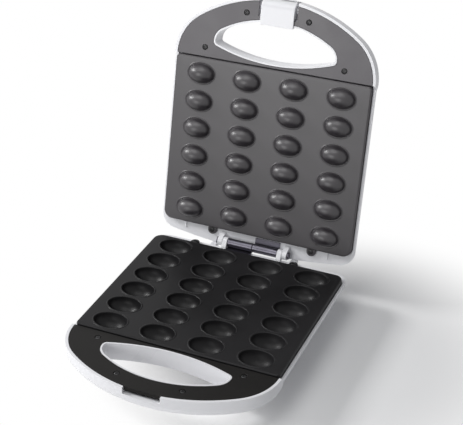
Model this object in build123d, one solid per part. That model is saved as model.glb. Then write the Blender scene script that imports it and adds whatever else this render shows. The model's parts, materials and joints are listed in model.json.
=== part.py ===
from build123d import *
import math
import os

# Electric nut cookie maker: two hinged halves, each a moulded housing that carries a heated
# cast plate. The lower plate has a grid of oval cavities, the upper plate an oval bump for
# each cavity. The object is stored open, with the lid resting on its stops.
#
# Every piece is drawn with the machine closed, about the parting plane at z = 0, with y = 0
# at the middle of the baking plates, -Y towards the handle and +Y towards the hinge. Lower
# pieces lie below the plane. Upper pieces are drawn below it too and turned over by a mirror.
# PLACE_BASE and PLACE_LID then set both halves on the table. All sizes are millimetres.

# Mould grid
COLUMNS = 4
ROWS = 6
PITCH_X = 55.0
PITCH_Y = 31.6

# Cavities and the bumps that press into them
CAVITY_LENGTH = 37.0
CAVITY_WIDTH = 27.0
CAVITY_WALL = 2.2
BOSS_GAP = 1.0
BOSS_TAPER = 20.0
BUMP_LENGTH = 30.6
BUMP_WIDTH = 21.4
MOULD_SIDES = 12
MOULD_LEVELS = (0, 33, 60, 80)

# Baking plates
PLATE_MARGIN_X = 32.0
PLATE_MARGIN_Y = 18.0
PLATE_FACE_GAP = 0.8
PLATE_DEPTH = 9.0
PLATE_WEB = 3.0
PLATE_SKIRT = 2.5
PLATE_BEVEL = 1.4
PLATE_FRONT_CORNER = 4.0
PLATE_REAR_CORNER = 10.0
PLATE_FIT = 0.5
EAR_XS = (-68.0, 53.0)
EAR_WIDTH = 10.5
EAR_REACH = 8.6
EAR_TOP = 2.8
LUG_X = 98.0
LUG_WIDTH = 12.0
LUG_REACH = 9.0
LUG_TOP = 6.6

# Housings
WALL = 2.5
RIM = 2.5
DECK_DROP = 6.0
TUB_WALL = 3.0
TUB_STEP = 1.0
LIP_DEPTH = 10.0
TUB_DEPTH = 40.0
TUB_FLARE_X = 27.0
TUB_FLARE_FRONT = 20.0
TUB_FLARE_REAR = 8.0
TUB_CORNER = 19.0
TUB_EDGE = 5.0
REAR_CORNER = 17.0
LOWER_REAR_Y = 106.5
UPPER_REAR_Y = 106.5
UPPER_REAR_BULGE = 10.5

# Handles
NOSE_Y = -98.0
NOSE_REACH = 76.0
OVAL_FULLNESS = 1.16
HANDLE_TAIL = 46.0
HANDLE_DROP = 2.5
HANDLE_DEPTH = 23.0
HANDLE_EDGE = 6.0
HOLE_Y = -117.5
HOLE_HALF_WIDTH = 70.0
HOLE_FRONT = 30.5
HOLE_REAR = 15.0
HOLE_WALL = 1.8
COVER_THICKNESS = 2.2
COVER_FIT = 0.25
COVER_RIM = 3.2
COVER_LEDGE = 2.5
SEAM_GAP = 1.0
COVER_SCREWS = ((81.5, -108.5), (36.0, -154.0))

# Hinge
HINGE_Y = 110.0
HINGE_PIN_RADIUS = 2.4
HINGE_RUNNING = 0.05
PIN_HEAD_RADIUS = 4.2
PIN_HEAD = 1.6
SLEEVE_RADIUS = 5.0
SLEEVE_LENGTH = 30.0
SLEEVE_GAP = 0.25
LEAF_THICKNESS = 1.5
LEAF_FRONT_Y = 99.0
LUG_RADIUS = 5.4
LUG_THICKNESS = 5.4
LUG_GAP = 0.5
OPEN_ANGLE = 103.4
STOP_X = 46.0
STOP_WIDTH = 6.0
STOP_GAP = 0.3

# Latch, drawn folded over the handle bar
LATCH_HALF_WIDTH = 19.4
LATCH_PIVOT_Y = -163.0
LATCH_PIVOT_DEPTH = 9.5
LATCH_FACE_DEPTH = 0.3
LATCH_THICKNESS = 1.9
LATCH_TIP_Y = -144.2
LATCH_LIP = 5.0
LATCH_LIP_THICKNESS = 2.2
LATCH_CHEEK = 2.2
LATCH_HUB_RADIUS = 3.4
LATCH_PIN_RADIUS = 1.5
POCKET_HALF_WIDTH = 22.5
POCKET_REAR_Y = -152.5
POCKET_SWING = 0.5
POCKET_WALL = 2.5
NOTCH_HALF_WIDTH = 20.5
NOTCH_DEPTH = 9.9
NOTCH_REAR_Y = -166.4
HOOK_CLEAR = 0.35
HOOK_LEDGE = 2.2

# Heating
HEATER_RADIUS = 3.2
HEATER_HALF_WIDTH = 55.0
HEATER_FRONT_Y = -74.0
HEATER_REAR_Y = 74.0
HEATER_BEND = 24.0
HEATER_SEAT = 0.05
TERMINAL_RADIUS = 3.15
TERMINAL_LENGTH = 9.0
CLIP_Y = 31.6
CLIP_OFFSET = 9.5
CLIP_WIDTH = 9.0
CLIP_THICKNESS = 1.2
POST_RADIUS = 3.5
PAN_HALF_WIDTH = 84.0
PAN_FRONT_Y = -80.0
PAN_REAR_Y = 86.0
PAN_CORNER = 10.0
PAN_THICKNESS = 0.8
PAN_EDGE = {"lower": 5.0, "upper": 4.0}
THERMOSTAT_RADIUS = 8.0
THERMOSTAT_HEIGHT = 6.0
THERMOSTAT_CAP = 2.5
BLADE_SIZE = (5.0, 0.8, 9.0)
BLADE_X = 3.0
FUSE_RADIUS = 2.2
FUSE_LENGTH = 34.0
FUSE_LEAD_RADIUS = 1.1
FUSE_LEAD = 8.0
FUSE_Y = 30.0

# Fasteners, feet, lamps and mains entry
SCREW_RADIUS = 1.4
SCREW_FIT = 0.3
SCREW_BITE = 0.05
SCREW_HEAD_RADIUS = 2.9
SCREW_HEAD = 1.3
SCREW_LENGTH = 9.0
BOSS_RADIUS = 4.0
FOOT_HEIGHT = 5.0
FOOT_RADIUS = 7.5
FOOT_SIDES = 16
FOOT_TAPER = 11.0
FOOT_PLUG_RADIUS = 3.0
FOOT_PLUG_FIT = 0.05
FOOT_X = 70.0
FOOT_FRONT_Y = -55.0
FOOT_REAR_Y = 84.0
LENS_X = 11.0
LENS_Y = -52.0
LENS_RADIUS = 3.6
LENS_FLANGE = 1.0
LENS_LAND = 1.0
LENS_HEAD = 1.6
LENS_TAPER = 35.0
LAMP_RADIUS = 2.6
LAMP_LENGTH = 7.0
BOARD_SIZE = (44.0, 14.0, 1.6)
BLOCK_SIZE = (30.0, 16.0, 10.0)
BLOCK_WELL_RADIUS = 2.0
BLOCK_WELL_DEPTH = 4.0
BLOCK_Y = 66.0
GLAND_DEPTH = 24.0
GLAND_NECK_RADIUS = 5.5
GLAND_BORE_RADIUS = 3.6
GLAND_FLANGE_RADIUS = 8.0
GLAND_FLANGE = 2.2
GLAND_PAD_RADIUS = 9.5
GLAND_PAD_SET = 1.0
GLAND_PAD_DEPTH = 12.0
GLAND_TAIL = 2.5
GLAND_FIT = 0.05

# Posts, bosses, screws and their holes under this radius are drawn with flat sides
SMALL_RADIUS = 8.5
SMALL_SIDES = 8

# Where the middle of the plates stands over the table
GRID_Y = -11.0

# Sizes that follow from those above
PLATE_HALF_X = PITCH_X * (COLUMNS - 1) / 2 + PLATE_MARGIN_X
PLATE_HALF_Y = PITCH_Y * (ROWS - 1) / 2 + PLATE_MARGIN_Y
HALF_WIDTH = PLATE_HALF_X + PLATE_FIT + RIM
COVER_BOTTOM = HANDLE_DROP + COVER_THICKNESS
COVER_REAR_Y = -PLATE_HALF_Y - SEAM_GAP
CAVITY_BOTTOM = PLATE_FACE_GAP + CAVITY_WIDTH / 2 + CAVITY_WALL
WEB_BOTTOM = PLATE_FACE_GAP + PLATE_WEB
FLOOR_DEPTH = TUB_DEPTH - WALL
PARTING_Z = TUB_DEPTH + FOOT_HEIGHT
LATCH_REACH = LATCH_PIVOT_DEPTH - LATCH_FACE_DEPTH
HEATER_DEPTHS = {"lower": CAVITY_BOTTOM + HEATER_RADIUS, "upper": WEB_BOTTOM + HEATER_RADIUS}

PLACE_BASE = Pos(0, GRID_Y, PARTING_Z)
PLACE_LID = PLACE_BASE * Pos(0, HINGE_Y, 0) * Rot(X=-OPEN_ANGLE) * Pos(0, -HINGE_Y, 0)


def slab(outline, top, bottom):
    """An outline made solid between two depths under the parting plane."""
    return Pos(0, 0, -bottom) * extrude(outline, bottom - top)


def rod(radius, x0, x1, y, depth, sides=0):
    """A bar along X, round or with flat sides."""
    outline = RegularPolygon(radius, sides) if sides else Circle(radius)
    return Plane(origin=(x0, y, -depth), z_dir=(1, 0, 0)) * extrude(outline, x1 - x0)


def post(radius, x, y, top, bottom):
    """An upright post between two depths, eight-sided where it is small."""
    outline = RegularPolygon(radius, SMALL_SIDES) if radius < SMALL_RADIUS else Circle(radius)
    return Pos(x, y) * slab(outline, top, bottom)


def block(x0, x1, y0, y1, top, bottom):
    """A box between two depths."""
    centre = Pos((x0 + x1) / 2, (y0 + y1) / 2, -(top + bottom) / 2)
    return centre * Box(x1 - x0, y1 - y0, bottom - top)


def side_profile(face, x0, x1):
    """A face drawn with its x as Y and its y as Z, made solid from x0 to x1."""
    return extrude(Plane.YZ.offset(x0) * face, x1 - x0)


def mould_centres():
    """Centres of the moulds on the plates."""
    across = [PITCH_X * (c - (COLUMNS - 1) / 2) for c in range(COLUMNS)]
    along = [PITCH_Y * (r - (ROWS - 1) / 2) for r in range(ROWS)]
    return [(x, y) for y in along for x in across]


def stacked(rings):
    """A solid with flat facets between stacked rings of as many points."""
    count = len(rings[0])
    faces = [Face(Wire.make_polygon(rings[0])), Face(Wire.make_polygon(rings[-1]))]
    for low, high in zip(rings, rings[1:]):
        for k in range(count):
            faces.append(Face(Wire.make_polygon([low[k - 1], low[k], high[k], high[k - 1]])))
    return Solid(Shell(faces))


def mould(length, width):
    """A nut-shaped mould above z = 0: a half round oval in flat facets, ring over ring."""
    rings = []
    turns = [2 * math.pi * (k + 0.5) / MOULD_SIDES for k in range(MOULD_SIDES)]
    for level in MOULD_LEVELS:
        shrink = math.cos(math.radians(level)) / 2
        height = width / 2 * math.sin(math.radians(level))
        reach, half = length * shrink, width * shrink
        rings.append([Vector(reach * math.cos(t), half * math.sin(t), height) for t in turns])
    return stacked(rings)


def cavity_boss():
    """The tapered block of metal round the underside of one cavity, above z = 0."""
    root = Rectangle(CAVITY_LENGTH + 2 * CAVITY_WALL, PITCH_Y - BOSS_GAP)
    return extrude(root, CAVITY_BOTTOM - PLATE_FACE_GAP - 1, taper=BOSS_TAPER)


def oval_half(half_width, reach, centre_y, front, grow=0.0):
    """Half of an oval of three tangent arcs, on the handle side or the hinge side."""
    side = -1 if front else 1
    end = OVAL_FULLNESS * reach**2 / half_width
    gap = half_width - end
    crown = (gap**2 + reach**2 - end**2) / (2 * (reach - end))
    slant = math.atan2(crown - reach, gap)
    end += grow
    crown += grow
    meet = (gap + end * math.cos(slant), end * math.sin(slant))
    bend = (gap + end * math.cos(slant / 2), end * math.sin(slant / 2))
    top = (0, reach + grow)
    place = [(x, centre_y + side * y) for x, y in (meet, bend, top, (gap + end, 0))]
    meet, bend, top, tip = place
    left = [(-x, y) for x, y in (meet, bend, tip)]
    return make_face([
        ThreePointArc(tip, bend, meet),
        ThreePointArc(meet, top, left[0]),
        ThreePointArc(left[0], left[1], left[2]),
        Line(left[2], tip),
    ])


def tail_corners(outline, radius):
    """Round the corners at the hinge side of an outline."""
    last = outline.vertices().sort_by(Axis.Y)[-2:]
    return fillet(last, radius)


def body_outline(inset, rear_y, bulge):
    """Plan of a half: straight sides, a bowed rear edge and an oval nose."""
    w = HALF_WIDTH - inset
    y1 = rear_y - inset
    left = Line((-w, NOSE_Y), (-w, y1))
    right = Line((w, y1), (w, NOSE_Y))
    front = Line((w, NOSE_Y), (-w, NOSE_Y))
    body = make_face([left, rear_side(w, y1, bulge), right, front])
    body = tail_corners(body, REAR_CORNER)
    return body + oval_half(HALF_WIDTH, NOSE_REACH, NOSE_Y, True, -inset)


def rear_side(w, y, bulge):
    """The rear side of an outline, straight or bowed outwards."""
    if bulge:
        return ThreePointArc((-w, y), (0, y + bulge), (w, y))
    return Line((-w, y), (w, y))


def hole_outline(grow):
    """The D-shaped finger hole of a handle."""
    front = oval_half(HOLE_HALF_WIDTH, HOLE_FRONT, HOLE_Y, True, grow)
    return front + oval_half(HOLE_HALF_WIDTH, HOLE_REAR, HOLE_Y, False, grow)


def handle_outline(inset):
    """Plan of the deep handle ring, closed by a flatter curve inside the tub."""
    front = oval_half(HALF_WIDTH, NOSE_REACH, NOSE_Y, True, -inset)
    return front + oval_half(HALF_WIDTH, HANDLE_TAIL, NOSE_Y, False, -inset)


def eased(ring):
    """A handle ring with its outer lower edge eased in two flats."""
    lowest = ring.faces().sort_by(Axis.Z)[0]
    ring = chamfer(lowest.edges(), HANDLE_EDGE)
    level = -HANDLE_DEPTH + HANDLE_EDGE
    upper = [edge for edge in ring.edges() if abs(edge.center().Z - level) < 0.01]
    return chamfer(upper, HANDLE_EDGE / 2)


def cover_outline(inset, hole_grow):
    """Plan of a handle cover, between the rim, the finger hole and the plate."""
    y1 = COVER_REAR_Y - inset
    window = Pos(0, y1 - NOSE_REACH) * Rectangle(3 * HALF_WIDTH, 2 * NOSE_REACH)
    return (handle_outline(COVER_RIM + inset) & window) - hole_outline(hole_grow)


def plate_outline(inset):
    """Plan of a baking plate."""
    w = PLATE_HALF_X - inset
    d = PLATE_HALF_Y - inset
    face = Rectangle(2 * w, 2 * d)
    corners = face.vertices().sort_by(Axis.Y)
    face = fillet(corners[:2], max(PLATE_FRONT_CORNER - inset, 1.0))
    rear = face.vertices().sort_by(Axis.Y)[-2:]
    return fillet(rear, PLATE_REAR_CORNER - inset)


def tub(inset, top, bottom, rear_y):
    """The tapered bowl of a housing, or its hollow when inset."""
    rings = []
    for depth in (bottom, top):
        share = (depth - LIP_DEPTH) / (TUB_DEPTH - LIP_DEPTH)
        w = HALF_WIDTH - TUB_STEP - inset - share * TUB_FLARE_X
        y0 = NOSE_Y + TUB_STEP + inset + share * TUB_FLARE_FRONT
        y1 = rear_y - TUB_STEP - inset - share * TUB_FLARE_REAR
        rings.append([Vector(x, y, -depth) for x, y in ((-w, y0), (w, y0), (w, y1), (-w, y1))])
    bowl = stacked(rings)
    corners = [edge for edge in bowl.edges() if -bottom + 1 < edge.center().Z < -top - 1]
    return fillet(corners, TUB_CORNER - inset)


def screw(x, y, seat):
    """A screw whose head rests at the seat depth, pointing away from the parting plane."""
    head = post(SCREW_HEAD_RADIUS, x, y, seat - SCREW_HEAD, seat)
    return head + post(SCREW_RADIUS, x, y, seat, seat + SCREW_LENGTH)


def screw_hole(x, y, top, depth):
    """The hole that a screw bites in."""
    return post(SCREW_RADIUS + SCREW_BITE, x, y, top - 1, top + depth)


def ear_centres(ear_xs):
    """Screw centres in the two rear ears of a plate."""
    return [(x, PLATE_HALF_Y + EAR_REACH - EAR_WIDTH / 2) for x in ear_xs]


def lug_centres():
    """Screw centres in the two front lugs of a plate."""
    y = -PLATE_HALF_Y - LUG_REACH + LUG_WIDTH / 2 - 0.5
    return [(-LUG_X, y), (LUG_X, y)]


def clip_centres():
    """Posts that hold the heater clips, just outside the heater's legs."""
    x = HEATER_HALF_WIDTH + CLIP_OFFSET
    return [(side * x, end * CLIP_Y) for side in (-1, 1) for end in (-1, 1)]


def plate(half, ear_xs):
    """A baking plate: bevelled face, skirt, screw ears and lugs, moulds and clip posts."""
    body = slab(plate_outline(0), PLATE_FACE_GAP, PLATE_DEPTH)
    body = chamfer(body.faces().sort_by(Axis.Z)[-1].edges(), PLATE_BEVEL)
    body -= slab(plate_outline(PLATE_SKIRT), WEB_BOTTOM, PLATE_DEPTH + 1)
    for x, y in ear_centres(ear_xs):
        neck = y - PLATE_HALF_Y + PLATE_SKIRT
        tab = Pos(x, y) * Circle(EAR_WIDTH / 2) + Pos(x, y - neck / 2) * Rectangle(EAR_WIDTH, neck)
        body += slab(tab, EAR_TOP, DECK_DROP)
        body -= post(SCREW_RADIUS + SCREW_FIT, x, y, 0, PLATE_DEPTH)
    for x, y in lug_centres():
        w = LUG_WIDTH / 2
        y0, y1 = -PLATE_HALF_Y - LUG_REACH, -PLATE_HALF_Y + PLATE_SKIRT
        body += block(x - w, x + w, y0, y1, LUG_TOP, PLATE_DEPTH)
        body -= post(SCREW_RADIUS + SCREW_FIT, x, y, LUG_TOP - 1, PLATE_DEPTH + 1)
    seat = HEATER_DEPTHS[half] + HEATER_RADIUS + HEATER_SEAT
    body += [post(POST_RADIUS, x, y, WEB_BOTTOM - 1, seat) for x, y in clip_centres()]
    centres = mould_centres()
    if half == "lower":
        boss = mirror(cavity_boss(), Plane.XY)
        cavity = mirror(mould(CAVITY_LENGTH, CAVITY_WIDTH), Plane.XY)
        body += post(THERMOSTAT_RADIUS, 0, 0, WEB_BOTTOM - 1, CAVITY_BOTTOM)
        body += [Pos(x, y, -PLATE_FACE_GAP - 1) * boss for x, y in centres]
        body -= [Pos(x, y, -PLATE_FACE_GAP) * cavity for x, y in centres]
    else:
        bump = mould(BUMP_LENGTH, BUMP_WIDTH)
        body += [Pos(x, y, -PLATE_FACE_GAP) * bump for x, y in centres]
    for x, y in clip_centres():
        body -= post(SCREW_RADIUS + SCREW_BITE, x, y, seat - SCREW_LENGTH + 2, seat + 1)
    return body


def hinge_lug(x0, x1, foot_depth, pin_radius):
    """A moulded lug that rises from the rear deck round the hinge pin."""
    foot = Pos(HINGE_Y - 7, -foot_depth) * Rectangle(5, 0.4)
    eye = Pos(HINGE_Y, 0) * Circle(LUG_RADIUS)
    profile = make_hull(foot.edges() + eye.edges()) - Pos(HINGE_Y, 0) * Circle(pin_radius)
    return side_profile(profile, x0, x1)


def rear_edge_y(x, rear_y, bulge):
    """The rear edge of a half at a place across it."""
    if not bulge:
        return rear_y
    radius = (HALF_WIDTH**2 + bulge**2) / (2 * bulge)
    return rear_y + bulge - radius + math.sqrt(radius**2 - x**2)


def lid_stop(side):
    """A gusset on the lower housing that the opened lid's rear edge comes to rest on."""
    inner = STOP_X
    reach = rear_edge_y(inner, UPPER_REAR_Y, UPPER_REAR_BULGE) - HINGE_Y + STOP_GAP
    angle = math.radians(OPEN_ANGLE)
    tip = 9.0

    def face_z(y):
        return -(reach - y * math.cos(angle)) / math.sin(angle)

    meet = (reach - DECK_DROP * math.sin(angle)) / math.cos(angle)
    root = LOWER_REAR_Y - HINGE_Y - 3
    points = [
        (root, -DECK_DROP),
        (meet, -DECK_DROP),
        (tip, face_z(tip)),
        (tip, face_z(tip) - 2.5),
        (root, -DECK_DROP - 18),
    ]
    profile = Pos(HINGE_Y, 0) * make_face(Polyline(points, close=True))
    x0 = inner if side > 0 else -inner - STOP_WIDTH
    return side_profile(profile, x0, x0 + STOP_WIDTH)


def latch_circle(radius, y=LATCH_PIVOT_Y):
    """A circle about the latch pivot in the side view."""
    return Pos(y, -LATCH_PIVOT_DEPTH) * Circle(radius)


def housing(rear_y, bulge, ear_xs):
    """The moulding that both halves share, without its own latch, hinge and lamp details."""
    shell = slab(body_outline(0, rear_y, bulge), HANDLE_DROP, LIP_DEPTH)
    ring = slab(handle_outline(0), HANDLE_DROP, HANDLE_DEPTH)
    ring = eased(ring)
    bowl = tub(0, LIP_DEPTH - 1, TUB_DEPTH, rear_y)
    bowl = chamfer(bowl.faces().sort_by(Axis.Z)[0].edges(), TUB_EDGE)
    shell = shell + ring + bowl
    far = HALF_WIDTH + 10
    shell -= block(-far, far, NOSE_Y, rear_y + bulge + 10, -1, DECK_DROP)
    nest = PLATE_FIT
    shell -= slab(plate_outline(-nest), -1, PLATE_DEPTH)
    shell -= block(-PLATE_HALF_X, PLATE_HALF_X, COVER_REAR_Y - COVER_FIT, -PLATE_HALF_Y + 5, -1, PLATE_DEPTH)

    ledge = 3.0
    y_rear = PLATE_HALF_Y - ledge
    shell -= block(-PLATE_HALF_X + ledge, PLATE_HALF_X - ledge, -y_rear, y_rear, -1, LIP_DEPTH + 1)
    shell -= tub(TUB_WALL, LIP_DEPTH, FLOOR_DEPTH, rear_y)

    shell -= slab(cover_outline(-COVER_FIT, HOLE_WALL), -1, COVER_BOTTOM)
    channel_top = COVER_BOTTOM - 1
    channel = cover_outline(COVER_LEDGE, HOLE_WALL + COVER_LEDGE / 2)
    channel &= Pos(0, HOLE_Y - NOSE_REACH + 14) * Rectangle(3 * HALF_WIDTH, 2 * NOSE_REACH)
    shell -= slab(channel, channel_top, HANDLE_DEPTH - WALL)
    for side in (-1, 1):
        for x, y in COVER_SCREWS:
            shell += post(BOSS_RADIUS, side * x, y, COVER_BOTTOM, HANDLE_DEPTH - WALL + 0.5)
            shell -= screw_hole(side * x, y, COVER_BOTTOM, SCREW_LENGTH)
    for x, y in lug_centres():
        width = LUG_WIDTH / 2 + PLATE_FIT
        shell -= block(x - width, x + width, y - width, -PLATE_HALF_Y, -1, PLATE_DEPTH)
        shell += post(BOSS_RADIUS, x, y, PLATE_DEPTH, HANDLE_DEPTH - WALL + 0.5)
        shell -= screw_hole(x, y, PLATE_DEPTH, SCREW_LENGTH)
    for x, y in ear_centres(ear_xs):
        boss = post(BOSS_RADIUS, x, y, DECK_DROP, DECK_DROP + SCREW_LENGTH + WALL)
        shell += boss - slab(plate_outline(-nest), -1, PLATE_DEPTH)
        shell -= screw_hole(x, y, DECK_DROP, SCREW_LENGTH)
    shell -= slab(hole_outline(0), -1, HANDLE_DEPTH + 5)
    return shell


def lower_housing():
    """The white base moulding, with hinge lugs, lid stops, latch notch and cord entry."""
    shell = housing(LOWER_REAR_Y, 0, EAR_XS)
    for side in (-1, 1):
        x0 = SLEEVE_LENGTH + SLEEVE_GAP + LUG_GAP
        x0, x1 = sorted((side * x0, side * (x0 + LUG_THICKNESS)))
        shell += hinge_lug(x0, x1, DECK_DROP + 0.2, HINGE_PIN_RADIUS + HINGE_RUNNING)
        shell += lid_stop(side)
        for y in (FOOT_FRONT_Y, FOOT_REAR_Y):
            shell -= post(FOOT_PLUG_RADIUS, side * FOOT_X, y, FLOOR_DEPTH - 1, TUB_DEPTH + 1)
    notch = NOTCH_HALF_WIDTH
    front = NOSE_Y - NOSE_REACH - 5
    shell -= block(-notch, notch, front, NOTCH_REAR_Y, -1, NOTCH_DEPTH)

    pad_face = LOWER_REAR_Y - GLAND_PAD_SET
    middle = Pos(0, pad_face - GLAND_PAD_DEPTH / 2, -GLAND_DEPTH) * Rot(X=90)
    shell += middle * Cylinder(GLAND_PAD_RADIUS, GLAND_PAD_DEPTH)
    return shell - middle * Cylinder(GLAND_NECK_RADIUS + GLAND_FIT, GLAND_PAD_DEPTH + 2)


def upper_housing():
    """The white lid moulding, with hinge lugs, latch pocket and lamp windows."""
    shell = housing(UPPER_REAR_Y, UPPER_REAR_BULGE, [-x for x in EAR_XS])
    for side in (-1, 1):
        x0 = SLEEVE_LENGTH + SLEEVE_GAP + 2 * LUG_GAP + LUG_THICKNESS
        x0, x1 = sorted((side * x0, side * (x0 + LUG_THICKNESS)))
        shell += hinge_lug(x0, x1, DECK_DROP + 0.2, HINGE_PIN_RADIUS + HINGE_RUNNING)
    cheek = POCKET_HALF_WIDTH + POCKET_WALL
    front = NOSE_Y - NOSE_REACH - 5
    solid_bar = eased(slab(handle_outline(0), HANDLE_DROP, HANDLE_DEPTH))
    bar = block(-cheek, cheek, front, POCKET_REAR_Y + POCKET_WALL, HANDLE_DROP, HANDLE_DEPTH)
    shell += (bar & solid_bar) - slab(cover_outline(-COVER_FIT, HOLE_WALL), -1, COVER_BOTTOM)
    shell -= side_profile(pocket_profile(), -POCKET_HALF_WIDTH, POCKET_HALF_WIDTH)
    shell -= rod(LATCH_PIN_RADIUS + HINGE_RUNNING, -cheek, cheek, LATCH_PIVOT_Y, LATCH_PIVOT_DEPTH)
    for x in (-LENS_X, LENS_X):
        shell -= post(LENS_RADIUS + HINGE_RUNNING, x, LENS_Y, FLOOR_DEPTH - 1, TUB_DEPTH + 1)
    stand = (BOARD_SIZE[0] / 2 - 3, lamp_board_depth())
    for side in (-1, 1):
        shell += post(BOSS_RADIUS - 1.5, side * stand[0], LENS_Y, stand[1], FLOOR_DEPTH + 0.5)
    return shell


def pocket_profile():
    """Side view of the room that the latch swings in."""
    swing = LATCH_REACH + POCKET_SWING
    front = NOSE_Y - NOSE_REACH - 5
    mouth_y = (front + LATCH_PIVOT_Y) / 2
    mouth = Pos(mouth_y, -LATCH_PIVOT_DEPTH / 2) * Rectangle(LATCH_PIVOT_Y - front, LATCH_PIVOT_DEPTH + 2)
    face_y = (LATCH_PIVOT_Y + POCKET_REAR_Y) / 2
    face_depth = COVER_BOTTOM + 1
    face = Pos(face_y, -face_depth / 2) * Rectangle(POCKET_REAR_Y - LATCH_PIVOT_Y, face_depth + 2)
    upper = Pos(front, -LATCH_PIVOT_DEPTH - swing / 2) * Rectangle(2 * (LATCH_PIVOT_Y - front), swing)
    upper &= latch_circle(swing)
    return latch_circle(swing) + mouth + face + upper


def latch():
    """The clip: a curled band between two cheeks, with a hook lip along its free edge."""
    outer, inner = LATCH_REACH, LATCH_REACH - LATCH_THICKNESS
    quarter = Pos(LATCH_PIVOT_Y - outer, -LATCH_PIVOT_DEPTH + outer) * Rectangle(2 * outer, 2 * outer)
    curl = (latch_circle(outer) - latch_circle(inner)) & quarter
    length = LATCH_TIP_Y - LATCH_PIVOT_Y
    mid_depth = LATCH_FACE_DEPTH + LATCH_THICKNESS / 2
    band = Pos(LATCH_PIVOT_Y + length / 2, -mid_depth) * Rectangle(length, LATCH_THICKNESS)
    lip_centre = (LATCH_TIP_Y - LATCH_LIP_THICKNESS / 2, -LATCH_FACE_DEPTH - LATCH_LIP / 2)
    lip = Pos(*lip_centre) * Rectangle(LATCH_LIP_THICKNESS, LATCH_LIP)
    strip = side_profile(curl + band + lip, -LATCH_HALF_WIDTH, LATCH_HALF_WIDTH)
    hub_reach = POCKET_HALF_WIDTH - 0.3
    bore = LATCH_PIN_RADIUS + HINGE_RUNNING
    for side in (-1, 1):
        x0, x1 = sorted((side * (LATCH_HALF_WIDTH - LATCH_CHEEK), side * LATCH_HALF_WIDTH))
        strip += side_profile(latch_circle(outer), x0, x1)
        x0, x1 = sorted((side * (LATCH_HALF_WIDTH - LATCH_CHEEK - 3), side * hub_reach))
        strip += rod(LATCH_HUB_RADIUS, x0, x1, LATCH_PIVOT_Y, LATCH_PIVOT_DEPTH)
    return strip - rod(bore, -hub_reach - 1, hub_reach + 1, LATCH_PIVOT_Y, LATCH_PIVOT_DEPTH)


def latch_pin():
    """The pin that the latch swings on, held in the walls of its pocket."""
    reach = POCKET_HALF_WIDTH + POCKET_WALL - 0.5
    return rod(LATCH_PIN_RADIUS, -reach, reach, LATCH_PIVOT_Y, LATCH_PIVOT_DEPTH)


def handle_cover():
    """The black cover of one handle, with countersunk screw seats."""
    cover = slab(cover_outline(0, HOLE_WALL + COVER_FIT), HANDLE_DROP, COVER_BOTTOM)
    for side in (-1, 1):
        for x, y in COVER_SCREWS:
            cover -= post(SCREW_RADIUS + SCREW_FIT, side * x, y, 0, COVER_BOTTOM + 1)
            cover -= post(SCREW_HEAD_RADIUS + SCREW_FIT, side * x, y, 0, HANDLE_DROP + SCREW_HEAD)
    return cover


def lower_handle_cover():
    """The base handle cover, with the ledge that the latch hooks under."""
    cover = handle_cover()
    notch = NOTCH_HALF_WIDTH - COVER_FIT
    ledge_y = LATCH_PIVOT_Y - LATCH_REACH + LATCH_THICKNESS + HOOK_CLEAR
    front = NOSE_Y - NOSE_REACH - 5
    cover -= block(-NOTCH_HALF_WIDTH, NOTCH_HALF_WIDTH, front, ledge_y, 0, COVER_BOTTOM + 1)
    lip_top = LATCH_TIP_Y - LATCH_LIP_THICKNESS - LATCH_PIVOT_Y - LATCH_PIVOT_DEPTH
    cover += block(-notch, notch, ledge_y, ledge_y + HOOK_LEDGE, HANDLE_DROP, lip_top - HOOK_CLEAR)
    return cover


def upper_handle_cover():
    """The lid handle cover, with the window of the latch pocket."""
    front = NOSE_Y - NOSE_REACH - 5
    window = block(-POCKET_HALF_WIDTH, POCKET_HALF_WIDTH, front, POCKET_REAR_Y, 0, COVER_BOTTOM + 1)
    return handle_cover() - window


def hinge_leaf(side):
    """A steel hinge leaf: a flat foot on the deck, rolled into a sleeve round the pin."""
    x0, x1 = sorted((side * SLEEVE_GAP, side * (SLEEVE_GAP + SLEEVE_LENGTH)))
    leaf = block(x0, x1, LEAF_FRONT_Y, HINGE_Y, DECK_DROP - LEAF_THICKNESS, DECK_DROP)
    leaf += rod(SLEEVE_RADIUS, x0, x1, HINGE_Y, 0)
    return leaf - rod(HINGE_PIN_RADIUS + HINGE_RUNNING, x0 - 1, x1 + 1, HINGE_Y, 0)


def hinge_pin():
    """The pin through all lugs and sleeves, with a head at each end."""
    reach = SLEEVE_GAP + SLEEVE_LENGTH + 3 * LUG_GAP + 2 * LUG_THICKNESS
    pin = rod(HINGE_PIN_RADIUS, -reach, reach, HINGE_Y, 0)
    for side in (-1, 1):
        x0, x1 = sorted((side * reach, side * (reach + PIN_HEAD)))
        pin += rod(PIN_HEAD_RADIUS, x0, x1, HINGE_Y, 0)
    return pin


def heater(half):
    """A tubular heater bent to a U under the plate, open at the hinge side."""
    depth = HEATER_DEPTHS[half]
    w, front, rear = HEATER_HALF_WIDTH, HEATER_FRONT_Y, HEATER_REAR_Y
    corners = [(-w, rear), (-w, front), (w, front), (w, rear)]
    path = Pos(0, 0, -depth) * FilletPolyline(*corners, radius=HEATER_BEND)
    start = Plane(origin=path @ 0, z_dir=path % 0)
    section = RegularPolygon(HEATER_RADIUS, SMALL_SIDES, major_radius=False, rotation=180 / SMALL_SIDES)
    return sweep(start * section, path=path)


def heater_terminals(half):
    """The ceramic ends of a heater."""
    depth = HEATER_DEPTHS[half]
    ends = []
    for side in (-1, 1):
        centre = (side * HEATER_HALF_WIDTH, HEATER_REAR_Y + TERMINAL_LENGTH / 2, -depth)
        section = RegularPolygon(TERMINAL_RADIUS, SMALL_SIDES)
        ends.append(Pos(*centre) * Rot(X=90) * extrude(section, TERMINAL_LENGTH / 2, both=True))
    return ends


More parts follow.
